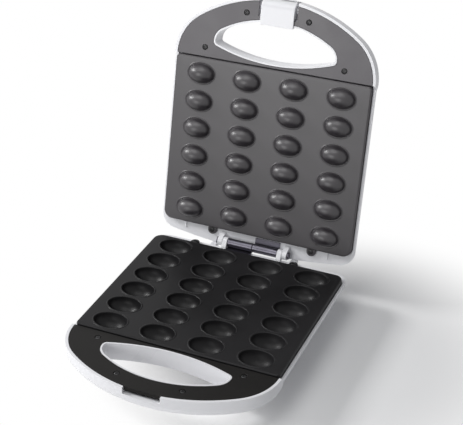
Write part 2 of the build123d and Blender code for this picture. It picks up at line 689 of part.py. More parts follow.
def heater_clips(half):
    """Flat clamps from the clip posts across under the heater's legs."""
    top = HEATER_DEPTHS[half] + HEATER_RADIUS + HEATER_SEAT
    clips = []
    for x, y in clip_centres():
        side = 1 if x > 0 else -1
        x0, x1 = sorted((side * (HEATER_HALF_WIDTH - HEATER_RADIUS - 3), x + side * (POST_RADIUS + 1)))
        clip = block(x0, x1, y - CLIP_WIDTH / 2, y + CLIP_WIDTH / 2, top, top + CLIP_THICKNESS)
        clips.append(clip - post(SCREW_RADIUS + SCREW_FIT, x, y, top - 1, top + CLIP_THICKNESS + 1))
    return clips


def pan_depth(half):
    """Depth of the reflector's upper face, on the clips."""
    return HEATER_DEPTHS[half] + HEATER_RADIUS + HEATER_SEAT + CLIP_THICKNESS


def reflector(half):
    """The reflector pan: a flat floor with a low upturned edge and cut corners."""
    top = pan_depth(half)
    edge = PAN_EDGE[half]
    t = PAN_THICKNESS
    pan = slab(pan_outline(0), top - edge, top + t) - slab(pan_outline(t), top - edge - 1, top)
    for x, y in clip_centres():
        pan -= post(SCREW_RADIUS + SCREW_FIT, x, y, top - 1, top + t + 1)
    if half == "lower":
        pan -= post(THERMOSTAT_RADIUS, 0, 0, top - 1, top + t + 1)
    return pan


def pan_outline(inset):
    """Plan of a reflector pan."""
    w, d = 2 * (PAN_HALF_WIDTH - inset), PAN_REAR_Y - PAN_FRONT_Y - 2 * inset
    outline = Rectangle(w, d)
    outline = chamfer(outline.vertices(), PAN_CORNER - inset * (2 - math.sqrt(2)))
    return Pos(0, (PAN_REAR_Y + PAN_FRONT_Y) / 2) * outline


def heater_screws(half):
    """Screws through reflector and clips into the clip posts, heads on the reflector."""
    seat = pan_depth(half) + PAN_THICKNESS
    screws = []
    for x, y in clip_centres():
        screws.append(Pos(x, y, -seat) * Rot(X=180) * Pos(-x, -y, seat) * screw(x, y, seat))
    return screws


def thermostat():
    """The thermostat disc on the plate's pad, with its two blades through the reflector."""
    top = CAVITY_BOTTOM
    cap = top + THERMOSTAT_HEIGHT
    body = post(THERMOSTAT_RADIUS - 0.5, 0, 0, top, cap)
    body += post(THERMOSTAT_RADIUS - 3, 0, 0, cap - 1, cap + THERMOSTAT_CAP)
    w, t = BLADE_SIZE[0] / 2, BLADE_SIZE[1] / 2
    for x in (-BLADE_X, BLADE_X):
        body += block(x - t, x + t, -w, w, cap, cap + BLADE_SIZE[2])
    return body


def thermal_fuse():
    """The thermal fuse in its sleeve, along the underside of the lower reflector."""
    depth = pan_depth("lower") + PAN_THICKNESS + FUSE_RADIUS + HEATER_SEAT
    half = FUSE_LENGTH / 2
    fuse = rod(FUSE_RADIUS, -half, half, FUSE_Y, depth, SMALL_SIDES)
    return fuse + rod(FUSE_LEAD_RADIUS, -half - FUSE_LEAD, half + FUSE_LEAD, FUSE_Y, depth, SMALL_SIDES)


def terminal_block():
    """The mains terminal block on the floor of the base, with a screw well over each pole."""
    w, d, h = BLOCK_SIZE
    top = FLOOR_DEPTH - h
    body = block(-w / 2, w / 2, BLOCK_Y - d / 2, BLOCK_Y + d / 2, top, FLOOR_DEPTH)
    for x in (-w / 3, 0, w / 3):
        body -= post(BLOCK_WELL_RADIUS, x, BLOCK_Y, top - 1, top + BLOCK_WELL_DEPTH)
    return body


def cord_gland():
    """The grommet in the rear wall that a mains cord would come out of."""
    face = LOWER_REAR_Y - GLAND_PAD_SET
    inner = face - GLAND_PAD_DEPTH - GLAND_TAIL
    profile = Polyline(
        (GLAND_BORE_RADIUS, face + GLAND_FLANGE),
        (GLAND_FLANGE_RADIUS - 1, face + GLAND_FLANGE),
        (GLAND_FLANGE_RADIUS, face),
        (GLAND_NECK_RADIUS, face),
        (GLAND_NECK_RADIUS, inner),
        (GLAND_BORE_RADIUS, inner),
        close=True,
    )
    return Pos(0, 0, -GLAND_DEPTH) * revolve(make_face(profile), Axis.Y, 360)


def feet():
    """Four rubber feet plugged into the floor of the base."""
    made = []
    outline = RegularPolygon(FOOT_RADIUS, FOOT_SIDES)
    pad = mirror(extrude(outline, FOOT_HEIGHT, taper=FOOT_TAPER), Plane.XY)
    for x in (-FOOT_X, FOOT_X):
        for y in (FOOT_FRONT_Y, FOOT_REAR_Y):
            plug = post(FOOT_PLUG_RADIUS - FOOT_PLUG_FIT, x, y, FLOOR_DEPTH - FOOT_PLUG_FIT, TUB_DEPTH)
            made.append(plug + Pos(x, y, -TUB_DEPTH) * pad)
    return made


def lamp_lens(x):
    """A lamp window in the top of the lid, with a bevelled head and an inner flange."""
    neck = post(LENS_RADIUS, x, LENS_Y, FLOOR_DEPTH - LENS_FLANGE, TUB_DEPTH)
    flange = post(LENS_RADIUS + LENS_LAND, x, LENS_Y, FLOOR_DEPTH - LENS_FLANGE, FLOOR_DEPTH)
    head = extrude(RegularPolygon(LENS_RADIUS + LENS_LAND, SMALL_SIDES), LENS_HEAD, taper=LENS_TAPER)
    return neck + flange + Pos(x, LENS_Y, -TUB_DEPTH) * mirror(head, Plane.XY)


def lamp_board_depth():
    """Depth of the lamp board's face towards the lid's top."""
    return FLOOR_DEPTH - LENS_FLANGE - LAMP_LENGTH - 0.3


def lamp_board():
    """The board that carries the indicator lamps, on two posts of the lid."""
    w, d, t = BOARD_SIZE
    bottom = lamp_board_depth()
    return block(-w / 2, w / 2, LENS_Y - d / 2, LENS_Y + d / 2, bottom - t, bottom)


def indicator_lamps():
    """The two lamps that stand on the board behind the lenses."""
    base = lamp_board_depth()
    return [post(LAMP_RADIUS, x, LENS_Y, base, base + LAMP_LENGTH) for x in (-LENS_X, LENS_X)]


def cover_screws():
    """The four screws of a handle cover, heads in their seats."""
    seat = HANDLE_DROP + SCREW_HEAD
    return [screw(side * x, y, seat) for side in (-1, 1) for x, y in COVER_SCREWS]


def plate_screws(ear_xs):
    """The four screws of a plate: two in the rear ears, two in the front lugs."""
    rear = [screw(x, y, EAR_TOP) for x, y in ear_centres(ear_xs)]
    front = [screw(x, y, LUG_TOP) for x, y in lug_centres()]
    return rear + front


def grouped(shapes):
    """Separate solids that share one node."""
    return Compound([solid for shape in shapes for solid in shape.solids()])


def turned_over(shape):
    """An upper piece, turned over from below the parting plane to above it."""
    return mirror(shape, Plane.XY)


def build_base():
    """Every piece of the base, drawn closed about the parting plane."""
    return {
        "lower_housing": lower_housing(),
        "lower_handle_cover": lower_handle_cover(),
        "lower_cover_screws": grouped(cover_screws()),
        "lower_plate": plate("lower", EAR_XS),
        "lower_plate_screws": grouped(plate_screws(EAR_XS)),
        "lower_heater": heater("lower"),
        "lower_heater_terminals": grouped(heater_terminals("lower")),
        "lower_heater_clips": grouped(heater_clips("lower")),
        "lower_heater_screws": grouped(heater_screws("lower")),
        "lower_reflector": reflector("lower"),
        "thermostat": thermostat(),
        "thermal_fuse": thermal_fuse(),
        "terminal_block": terminal_block(),
        "cord_gland": cord_gland(),
        "rubber_feet": grouped(feet()),
        "lower_hinge_leaf": hinge_leaf(-1),
        "hinge_pin": hinge_pin(),
    }


def build_lid():
    """Every piece of the lid and its latch, drawn closed above the parting plane."""
    ear_xs = [-x for x in EAR_XS]
    drawn = {
        "upper_housing": upper_housing(),
        "upper_handle_cover": upper_handle_cover(),
        "upper_cover_screws": grouped(cover_screws()),
        "upper_plate": plate("upper", ear_xs),
        "upper_plate_screws": grouped(plate_screws(ear_xs)),
        "upper_heater": heater("upper"),
        "upper_heater_terminals": grouped(heater_terminals("upper")),
        "upper_heater_clips": grouped(heater_clips("upper")),
        "upper_heater_screws": grouped(heater_screws("upper")),
        "upper_reflector": reflector("upper"),
        "power_lamp_lens": lamp_lens(-LENS_X),
        "ready_lamp_lens": lamp_lens(LENS_X),
        "indicator_lamps": grouped(indicator_lamps()),
        "lamp_board": lamp_board(),
        "upper_hinge_leaf": hinge_leaf(1),
        "latch_pin": latch_pin(),
        "latch": latch(),
    }
    return {name: turned_over(shape) for name, shape in drawn.items()}


def main():
    """Build every piece, set both halves on the table and write one file for each."""
    os.makedirs("parts", exist_ok=True)
    placed = {name: PLACE_BASE * shape for name, shape in build_base().items()}
    placed.update({name: PLACE_LID * shape for name, shape in build_lid().items()})
    for name, shape in placed.items():
        export_step(shape, f"parts/{name}.step")


if __name__ == "__main__":
    main()
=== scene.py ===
"""Looks of an electric nut cookie maker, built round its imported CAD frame.

The machine stands open on four feet. Its lid carries a baking plate with oval bumps, its base
one with oval hollows. Shapes are drawn in millimetres with the machine closed, about the
parting plane at z = 0, and a Half then sets them on the base or on the opened lid.
"""

import json
import logging
import math
from dataclasses import dataclass, replace
from enum import Enum
from typing import ClassVar, Iterable, Sequence

import bmesh
import bpy
from mathutils import Matrix, Vector


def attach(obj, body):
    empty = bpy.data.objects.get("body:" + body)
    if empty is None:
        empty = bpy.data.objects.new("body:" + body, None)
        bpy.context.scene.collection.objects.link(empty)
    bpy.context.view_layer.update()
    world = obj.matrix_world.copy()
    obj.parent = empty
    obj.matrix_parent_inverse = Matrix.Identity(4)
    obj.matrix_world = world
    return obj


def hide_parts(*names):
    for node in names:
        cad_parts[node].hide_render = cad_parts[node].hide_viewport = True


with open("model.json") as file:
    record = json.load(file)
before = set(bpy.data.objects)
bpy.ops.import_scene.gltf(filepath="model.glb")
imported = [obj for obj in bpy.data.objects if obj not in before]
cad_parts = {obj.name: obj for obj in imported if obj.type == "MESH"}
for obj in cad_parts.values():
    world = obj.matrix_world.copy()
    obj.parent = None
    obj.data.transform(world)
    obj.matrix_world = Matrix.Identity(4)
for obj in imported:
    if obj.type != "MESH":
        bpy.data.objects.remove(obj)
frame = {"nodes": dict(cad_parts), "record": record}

LOG = logging.getLogger("nut_cookie_maker")
MM = 0.001

# Where the machine stands, as in the CAD
HINGE_Y = 110.0
OPEN_ANGLE = 103.4
GRID_Y = -11.0
PARTING_Z = 45.0

# How near two heights have to be to count as one, in millimetres
LEVEL = 1e-4

Colour = tuple[float, float, float]
Point = tuple[float, float]
Spot = tuple[float, float, float]
Socket = bpy.types.NodeSocket
Piece = bpy.types.Object
Edge, Face, Vert = bmesh.types.BMEdge, bmesh.types.BMFace, bmesh.types.BMVert


class Half(Enum):
    """The two halves of the machine, and the placing of what is drawn for each."""

    LOWER = "lower"
    UPPER = "upper"

    @property
    def place(self) -> Matrix:
        """Matrix from the closed drawing in millimetres to the open machine in metres."""
        stand = Matrix.Scale(MM, 4) @ Matrix.Translation((0, GRID_Y, PARTING_Z))
        if self is Half.LOWER:
            return stand
        to_hinge = Matrix.Translation((0, HINGE_Y, 0))
        turn = Matrix.Rotation(math.radians(-OPEN_ANGLE), 4, "X")
        over = Matrix.Diagonal((1, 1, -1, 1))
        return stand @ to_hinge @ turn @ to_hinge.inverted() @ over


class Finish(Enum):
    """The finishes that pieces are dressed in, each of one material slot."""

    SHELL = "white_shell"
    COVER = "black_cover"
    # Lighter copy of the black cover for the lid: its lighter colour is painted sheen, standing in
    # for the light that the lid's cover reflects
    LID_COVER = "black_cover.lid"
    COATING = "plate_coating"
    # Lighter, violet-tinted copy of the plate coating for the lid: its lighter colour and tint are
    # painted sheen, standing in for the light that the lid's plate reflects
    LID_COATING = "plate_coating.lid"
    SCREW = "black_screw"
    SHEATH = "heater_sheath"
    STEEL = "steel"
    HINGE = "steel.hinge"
    CERAMIC = "ceramic"
    REFLECTOR = "reflector"
    RUBBER = "rubber"
    RED = "red_lens"
    GREEN = "green_lens"
    LAMP = "lamp_glass"
    BOARD = "board"

    @property
    def slot(self) -> str:
        """Name of the record's slot that the finish belongs to."""
        return self.value.split(".")[0]


class Texture(Enum):
    """The fine textures that a finish can have."""

    GRAIN = "moulded_grain"
    SPECKLE = "coating_speckle"
    BRUSHED = "rolled_lines"


# Materials


class Graph:
    """A short way to add and join the nodes of one node tree."""

    def __init__(self, tree: bpy.types.NodeTree) -> None:
        """Start on the node tree to fill."""
        self.tree = tree

    def add(self, kind: str, **settings: object) -> bpy.types.Node:
        """Add a node and set its properties.

        Args:
            kind: The node's type name.
            **settings: Properties of the node, by name.

        Returns:
            The new node.
        """
        node = self.tree.nodes.new(kind)
        for name, value in settings.items():
            setattr(node, name, value)
        return node

    def join(self, source: Socket, target: Socket) -> None:
        """Link an output to an input."""
        self.tree.links.new(source, target)

    def remap(self, value: Socket, source: Point = (0.0, 1.0),
              target: Point = (0.0, 1.0), curve: str = "LINEAR") -> Socket:
        """Map a value from one range to another.

        Args:
            value: The output to map.
            source: The range that it has.
            target: The range that it gets.
            curve: The kind of interpolation.

        Returns:
            The mapped output.
        """
        node = self.add("ShaderNodeMapRange", interpolation_type=curve)
        node.inputs["From Min"].default_value, node.inputs["From Max"].default_value = source
        node.inputs["To Min"].default_value, node.inputs["To Max"].default_value = target
        self.join(value, node.inputs["Value"])
        return node.outputs["Result"]

    def tint(self, mask: Socket, first: Colour, second: Colour) -> Socket:
        """Blend two colours by a mask.

        Args:
            mask: The blend, from 0 to 1.
            first: The colour at 0.
            second: The colour at 1.

        Returns:
            The blended colour.
        """
        node = self.add("ShaderNodeMix", data_type="RGBA")
        # Several sockets of this node share a name, so those for colours go by number
        colour_a, colour_b, colour_result = 6, 7, 2
        node.inputs[colour_a].default_value = (*first, 1.0)
        node.inputs[colour_b].default_value = (*second, 1.0)
        self.join(mask, node.inputs["Factor"])
        return node.outputs[colour_result]

    def blend(self, share: Socket, first: bpy.types.Node,
              second: bpy.types.Node, output: bpy.types.Node) -> None:
        """Send a mix of two shaders to the tree's output.

        Args:
            share: How much of the second one shows.
            first: The shader at 0.
            second: The shader at 1.
            output: The output node.
        """
        mix = self.add("ShaderNodeMixShader")
        for source, target in zip((share, first.outputs[0], second.outputs[0]), mix.inputs):
            self.join(source, target)
        self.join(mix.outputs[0], output.inputs["Surface"])

    def seen_directly(self) -> Socket:
        """Tell camera, glossy and transmission rays from those that only light things."""
        path = self.add("ShaderNodeLightPath")
        total = path.outputs["Is Camera Ray"]
        for name in ("Is Glossy Ray", "Is Transmission Ray"):
            either = self.add("ShaderNodeMath", operation="MAXIMUM")
            self.join(total, either.inputs[0])
            self.join(path.outputs[name], either.inputs[1])
            total = either.outputs[0]
        return total


class Effects:
    """Node groups that several materials share: broad soft patches and fine textures."""

    def __init__(self) -> None:
        """Build each group once."""
        noise, cells = "ShaderNodeTexNoise", "ShaderNodeTexVoronoi"
        self.mottle = self._group("handling_mottle", noise, "Fac", (0.32, 0.68),
                                  Detail=4.0, Distortion=0.4)
        self.textures = {
            Texture.GRAIN: self._group(Texture.GRAIN.value, noise, "Fac",
                                       Detail=3.0, Roughness=0.62),
            Texture.SPECKLE: self._group(Texture.SPECKLE.value, cells, "Distance"),
            Texture.BRUSHED: self._group(Texture.BRUSHED.value, noise, "Fac",
                                         stretch=(0.04, 1.0, 1.0), Detail=2.0),
        }

    @staticmethod
    def _group(name: str, kind: str, output: str, limits: Point | None = None,
               stretch: Spot | None = None, **values: float) -> bpy.types.NodeTree:
        """Build a group that takes a place and a scale and gives a texture's value.

        Args:
            name: The group's name.
            kind: The texture's type name.
            output: Name of the texture's socket that is used.
            limits: What becomes 0 and 1, where the value is mapped.
            stretch: How the pattern is squeezed along each axis, where it is.
            **values: Values of the texture's sockets, by name.

        Returns:
            The group.
        """
        tree = bpy.data.node_groups.new(name, "ShaderNodeTree")
        tree.interface.new_socket("Vector", in_out="INPUT", socket_type="NodeSocketVector")
        tree.interface.new_socket("Scale", in_out="INPUT", socket_type="NodeSocketFloat")
        tree.interface.new_socket("Value", in_out="OUTPUT", socket_type="NodeSocketFloat")
        graph = Graph(tree)
        source, pattern = graph.add("NodeGroupInput"), graph.add(kind)
        for socket, value in values.items():
            pattern.inputs[socket].default_value = value
        place = source.outputs["Vector"]
        if stretch:
            mapping = graph.add("ShaderNodeMapping")
            mapping.inputs["Scale"].default_value = stretch
            graph.join(place, mapping.inputs["Vector"])
            place = mapping.outputs["Vector"]
        graph.join(place, pattern.inputs["Vector"])
        graph.join(source.outputs["Scale"], pattern.inputs["Scale"])
        result = pattern.outputs[output]
        if limits:
            result = graph.remap(result, limits)
        graph.join(result, graph.add("NodeGroupOutput").inputs["Value"])
        return tree


@dataclass(frozen=True)
class Surface:
    """How one finish looks: two close colours, gloss, and the fine texture on it.

    Attributes:
        finish: The finish that it describes.
        base: The main colour.
        shade: The colour in its darker or worn patches.
        roughness: Roughness in the clean and in the worn patches.
        texture: The texture that gives its fine height.
        texture_scale: Scale of that texture.
        depth: Height of the fine texture in metres.
        mottle_scale: Scale of the broad patches.
        metallic: 1 for bare metal.
        coat: Weight of a clear coat.
        coat_roughness: Roughness of the clear coat.
        specular: Specular level.
        clear: Transmission of a glass-like piece.
    """

    finish: Finish
    base: Colour
    shade: Colour
    roughness: tuple[float, float]
    texture: Texture = Texture.GRAIN
    texture_scale: float = 1400.0
    depth: float = 0.00002
    mottle_scale: float = 28.0
    metallic: float = 0.0
    coat: float = 0.0
    coat_roughness: float = 0.12
    specular: float = 0.5
    clear: float = 0.0

    def build(self, effects: Effects) -> bpy.types.Material:
        """Make the material.

        Args:
            effects: The shared node groups.

        Returns:
            The new material.
        """
        material = bpy.data.materials.new(self.finish.value)
        material.use_nodes = True
        graph = Graph(material.node_tree)
        shader = graph.tree.nodes["Principled BSDF"]
        place = graph.add("ShaderNodeTexCoord").outputs["Object"]
        mottle = graph.add("ShaderNodeGroup", node_tree=effects.mottle)
        mottle.inputs["Scale"].default_value = self.mottle_scale
        fine = graph.add("ShaderNodeGroup", node_tree=effects.textures[self.texture])
        fine.inputs["Scale"].default_value = self.texture_scale
        graph.join(place, mottle.inputs["Vector"])
        graph.join(place, fine.inputs["Vector"])
        patches = graph.tint(mottle.outputs["Value"], self.base, self.shade)
        graph.join(patches, shader.inputs["Base Color"])
        worn = graph.remap(mottle.outputs["Value"], target=self.roughness)
        graph.join(worn, shader.inputs["Roughness"])
        bump = graph.add("ShaderNodeBump")
        bump.inputs["Distance"].default_value = self.depth
        graph.join(fine.outputs["Value"], bump.inputs["Height"])
        graph.join(bump.outputs["Normal"], shader.inputs["Normal"])
        for name, value in (("Metallic", self.metallic), ("Coat Weight", self.coat),
                            ("Coat Roughness", self.coat_roughness),
                            ("Specular IOR Level", self.specular),
                            ("Transmission Weight", self.clear)):
            shader.inputs[name].default_value = value
        return material


ROLLED = {"metallic": 1.0, "texture": Texture.BRUSHED}
SPRAYED = {"texture": Texture.SPECKLE, "texture_scale": 900.0, "depth": 0.00001,
           "mottle_scale": 14.0}
SURFACES: tuple[Surface, ...] = (
    Surface(Finish.SHELL, (0.82, 0.82, 0.842), (0.815, 0.815, 0.838), (0.27, 0.285),
            depth=0.000003, mottle_scale=9.0, coat=0.1, specular=0.4),
    Surface(Finish.COVER, (0.0068, 0.0062, 0.0058), (0.0098, 0.009, 0.0084), (0.38, 0.48),
            specular=0.14),
    # The lid's cover: the same black cover, its colour made lighter as painted sheen
    Surface(Finish.LID_COVER, (0.06, 0.0545, 0.0615), (0.068, 0.062, 0.07), (0.36, 0.42),
            specular=0.65),
    Surface(Finish.COATING, (0.0095, 0.0092, 0.0098), (0.0135, 0.013, 0.014), (0.34, 0.44),
            specular=0.16, **SPRAYED),
    # The lid's plate: the same coating, its colour made lighter and violet as painted sheen
    Surface(Finish.LID_COATING, (0.027, 0.0235, 0.0275), (0.033, 0.029, 0.0335), (0.36, 0.4),
            specular=0.7, **SPRAYED),
    Surface(Finish.SCREW, (0.022, 0.022, 0.023), (0.04, 0.04, 0.041), (0.26, 0.4), metallic=0.6),
    Surface(Finish.SHEATH, (0.17, 0.15, 0.135), (0.09, 0.08, 0.075), (0.36, 0.55),
            texture_scale=900.0, **ROLLED),
    Surface(Finish.STEEL, (0.34, 0.34, 0.355), (0.27, 0.27, 0.285), (0.26, 0.36),
            texture_scale=1600.0, depth=0.00001, **ROLLED),
    Surface(Finish.HINGE, (0.13, 0.125, 0.15), (0.1, 0.096, 0.115), (0.3, 0.4),
            texture_scale=1600.0, depth=0.00001, **ROLLED),
    Surface(Finish.CERAMIC, (0.78, 0.75, 0.68), (0.68, 0.64, 0.57), (0.5, 0.62)),
    Surface(Finish.REFLECTOR, (0.62, 0.63, 0.64), (0.5, 0.5, 0.52), (0.3, 0.46),
            texture_scale=700.0, **ROLLED),
    Surface(Finish.RUBBER, (0.024, 0.024, 0.025), (0.036, 0.036, 0.037), (0.62, 0.78),
            depth=0.00005),
    Surface(Finish.RED, (0.62, 0.02, 0.012), (0.5, 0.012, 0.008), (0.08, 0.14),
            coat=0.4, clear=0.35),
    Surface(Finish.GREEN, (0.03, 0.42, 0.06), (0.02, 0.32, 0.04), (0.08, 0.14),
            coat=0.4, clear=0.35),
    Surface(Finish.LAMP, (0.9, 0.88, 0.84), (0.84, 0.8, 0.74), (0.05, 0.12), clear=0.7),
    Surface(Finish.BOARD, (0.22, 0.15, 0.06), (0.17, 0.115, 0.045), (0.45, 0.6)),
)


# Modelling


class Draft:
    """A mesh being shaped in millimetres, about the parting plane of the closed machine."""

    CORNER_STEPS_PER_MM = 1.2
    CORNER_STEPS = (2, 10)

    def __init__(self) -> None:
        """Start with an empty mesh."""
        self.bm = bmesh.new()

    def loop(self, half_x: float, half_y: float, centre: Point, z: float,
             steps: int) -> list[Edge]:
        """Draw a closed oval.

        Args:
            half_x: Half its length along X.
            half_y: Half its width along Y.
            centre: Its middle.
            z: Its height.
            steps: Number of edges.

        Returns:
            Its edges.
        """
        place = Matrix.Translation((*centre, z)) @ Matrix.Diagonal((half_x, half_y, 1, 1))
        made = bmesh.ops.create_circle(self.bm, cap_ends=False, segments=steps, radius=1.0,
                                       matrix=place)
        return list({edge for vert in made["verts"] for edge in vert.link_edges})

    def bowl(self, rings: Sequence[Spot], centre: Point, steps: int) -> list[Edge]:
        """Bridge a stack of ovals and close the last one.

        Args:
            rings: Half length, half width and height of each oval, from the rim inwards.
            centre: Their middle.
            steps: Edges in each oval.

        Returns:
            The edges of the first oval, left open.
        """
        first = last = self.loop(*rings[0][:2], centre, rings[0][2], steps)
        for half_x, half_y, z in rings[1:]:
            ring = self.loop(half_x, half_y, centre, z, steps)
            bmesh.ops.bridge_loops(self.bm, edges=last + ring)
            last = ring
        bmesh.ops.edgeloop_fill(self.bm, edges=last)
        return first

    def fill(self, loops: Iterable[Edge]) -> None:
        """Fill a flat outline that has holes, given the edges of both."""
        bmesh.ops.triangle_fill(self.bm, use_beauty=True, use_dissolve=False,
                                edges=list(loops))

    def plan(self, low: Point, high: Point, corners: Point, z: float) -> Face:
        """Draw a flat rectangle with rounded corners.

        Args:
            low: Its corner with the lowest x and y.
            high: Its corner with the highest x and y.
            corners: Radius at the -Y side and at the +Y side.
            z: Its height.

        Returns:
            Its face.
        """
        middle = Vector(((low[0] + high[0]) / 2, (low[1] + high[1]) / 2))
        size = Matrix.Diagonal(((high[0] - low[0]) / 2, (high[1] - low[1]) / 2, 1, 1))
        place = Matrix.Translation((*middle, z)) @ size
        made = bmesh.ops.create_grid(self.bm, x_segments=1, y_segments=1, size=1.0,
                                     matrix=place)
        face = made["verts"][0].link_faces[0]
        fewest, most = self.CORNER_STEPS
        for radius, verts in ((corners[0], [v for v in face.verts if v.co.y < middle.y]),
                              (corners[1], [v for v in face.verts if v.co.y > middle.y])):
            if radius:
                steps = min(most, max(fewest, round(radius * self.CORNER_STEPS_PER_MM)))
                bmesh.ops.bevel(self.bm, geom=verts, offset=radius, offset_type="OFFSET",
                                segments=steps, profile=0.5, affect="VERTICES", material=-1)
        flat = (f for f in self.bm.faces if all(abs(v.co.z - z) < LEVEL for v in f.verts))
        return min(flat, key=lambda f: (f.calc_center_median().xy - middle).length)

    def raise_face(self, face: Face, rise: float) -> Face:
        """Extrude a face along Z into a closed block.

        Args:
            face: The face to extrude.
            rise: How far, up or down.

        Returns:
            The face at the far end.
        """
        made = bmesh.ops.extrude_face_region(self.bm, geom=[face], use_keep_orig=True)["geom"]
        verts = [item for item in made if isinstance(item, Vert)]
        bmesh.ops.translate(self.bm, verts=verts, vec=(0, 0, rise))
        return next(item for item in made if isinstance(item, Face))

    def edges_at(self, z: float) -> list[Edge]:
        """Find the edges that lie at a height."""
        return [e for e in self.bm.edges if all(abs(v.co.z - z) < LEVEL for v in e.verts)]

    def soften(self, edges: Iterable[Edge], offset: float, segments: int) -> None:
        """Round some edges with so many flats, each set back by the offset."""
        bmesh.ops.bevel(self.bm, geom=list(edges), offset=offset, offset_type="OFFSET",
                        segments=segments, profile=0.5, affect="EDGES", material=-1)

    def turned(self, profile: Sequence[Point], centre: Spot, steps: int,
               along_y: bool = False) -> None:
        """Spin an open profile round into a closed solid.

        Args:
            profile: Radius and height of each point, from axis to axis or closed.
            centre: Origin of the profile.
            steps: Steps round.
            along_y: Whether its axis lies along Y and not along Z.
        """
        others = set(self.bm.verts)
        verts = []
        for radius, height in profile:
            spot = (radius, height, 0) if along_y else (radius, 0, height)
            co = Vector(centre) + Vector(spot)
            verts += bmesh.ops.create_vert(self.bm, co=co)["vert"]
        pairs = list(zip(verts, verts[1:]))
        if profile[0][0] > 0 and profile[-1][0] > 0:
            pairs.append((verts[-1], verts[0]))
        edges = [bmesh.ops.contextual_create(self.bm, geom=list(pair))["edges"][0]
                 for pair in pairs]
        axis = (0, 1, 0) if along_y else (0, 0, 1)
        bmesh.ops.spin(self.bm, geom=verts + edges, cent=centre, axis=axis, angle=math.tau,
                       steps=steps, use_merge=True, use_duplicate=False)
        made = [v for v in self.bm.verts if v not in others]
        bmesh.ops.remove_doubles(self.bm, verts=made, dist=LEVEL)

    def block(self, low: Spot, high: Spot, edge: float = 0.0) -> None:
        """Add a closed box, with rounded edges where asked.

        Args:
            low: Its lowest corner.
            high: Its highest corner.
            edge: Width of the rounding.
        """
        middle, size = (Vector(low) + Vector(high)) / 2, Vector(high) - Vector(low)
        place = Matrix.Translation(middle) @ Matrix.Diagonal((*size, 1))
        made = bmesh.ops.create_cube(self.bm, size=1.0, matrix=place)
        if edge:
            self.soften({e for v in made["verts"] for e in v.link_edges}, edge, 2)

    def finish(self, name: str, sharp: float = 32.0) -> Piece:
        """Turn the draft into an object, still in millimetres about the parting plane."""
        bmesh.ops.recalc_face_normals(self.bm, faces=self.bm.faces)
        return listed(self.bm, name, sharp)


@dataclass(frozen=True)
class Oval:
    """Half of an oval of three tangent arcs, as the handle and its hole have.

    Attributes:
        half_width: Half its width across the machine.
        reach: How far it goes along Y.
        centre_y: Where its widest place is.
        front: Whether it goes towards the handle's nose.
        grow: How much larger it is drawn all round.
        fullness: How round its ends are.
    """

    half_width: float
    reach: float
    centre_y: float
    front: bool
    grow: float = 0.0
    fullness: float = 1.16

    def draw(self, draft: Draft, start: Vert | None, z: float) -> Vert:
        """Spin the three arcs one after another, from the right or from the left end.

        Args:
            draft: The mesh to draw in.
            start: The vertex to go on from, or None to start at the right end.
            z: Height of the outline.

        Returns:
            The last vertex.
        """
        end = self.fullness * self.reach**2 / self.half_width
        gap = self.half_width - end
        crown = (gap**2 + self.reach**2 - end**2) / (2 * (self.reach - end))
        slant = math.atan2(crown - self.reach, gap)
        side = -1 if self.front else 1
        hand = 1 if start is None else -1
        if start is None:
            spot = (gap + end + self.grow, self.centre_y, z)
            start = bmesh.ops.create_vert(draft.bm, co=spot)["vert"][0]
        crown_y = self.centre_y + side * (self.reach - crown)
        end_steps, crown_steps = 7, 30
        arcs = ((hand * gap, self.centre_y, slant, end_steps),
                (0.0, crown_y, math.pi - 2 * slant, crown_steps),
                (-hand * gap, self.centre_y, slant, end_steps))
        vert = start
        for x, y, angle, steps in arcs:
            made = bmesh.ops.spin(draft.bm, geom=[vert], cent=(x, y, z), axis=(0, 0, 1),
                                  angle=side * hand * angle, steps=steps,
                                  use_duplicate=False)
            vert = next(v for v in made["geom_last"] if isinstance(v, Vert))
        return vert


def listed(bm: bmesh.types.BMesh, name: str, sharp: float) -> Piece:
    """Turn a smooth mesh into an object of the scene and free it.

    Args:
        bm: The mesh.
        name: Name of the object.
        sharp: Angle in degrees over which edges stay sharp.

    Returns:
        The new object.
    """
    for face in bm.faces:
        face.smooth = True
    mesh = bpy.data.meshes.new(name)
    bm.to_mesh(mesh)
    bm.free()
    for extra in ("custom_normal", "sharp_edge", "sharp_face"):
        if extra in mesh.attributes:
            mesh.attributes.remove(mesh.attributes[extra])
    mesh.set_sharp_from_angle(angle=math.radians(sharp))
    piece = bpy.data.objects.new(name, mesh)
    bpy.context.scene.collection.objects.link(piece)
    return piece


def softened(node: str, width: float, segments: int, limit: float) -> Piece:
    """Copy a CAD node as one joined mesh and round its sharp edges.

    Args:
        node: The CAD node.
        width: Width of the rounding in millimetres.
        segments: Number of flats across it.
        limit: Angle in degrees over which an edge is rounded.

    Returns:
        The new piece.
    """
    weld = 0.004 * MM
    bm = bmesh.new()
    bm.from_mesh(frame["nodes"][node].data)
    bmesh.ops.remove_doubles(bm, verts=bm.verts, dist=weld)
    bmesh.ops.dissolve_degenerate(bm, edges=bm.edges, dist=weld)
    piece = listed(bm, f"{node}_soft", limit)
    edge = piece.modifiers.new("Edge", "BEVEL")
    edge.width = width * MM
    edge.segments = segments
    edge.limit_method = "ANGLE"
    edge.angle_limit = math.radians(limit)
    edge.use_clamp_overlap = False
    edge.miter_outer = "MITER_ARC"
    return evened(piece)


def evened(piece: Piece) -> Piece:
    """Let large flats keep their flat shading beside small rounded faces.

    Args:
        piece: The object to shade.

    Returns:
        The same object.
    """
    normals = piece.modifiers.new("Even", "WEIGHTED_NORMAL")
    normals.keep_sharp = True
    normals.weight = 60
    return piece


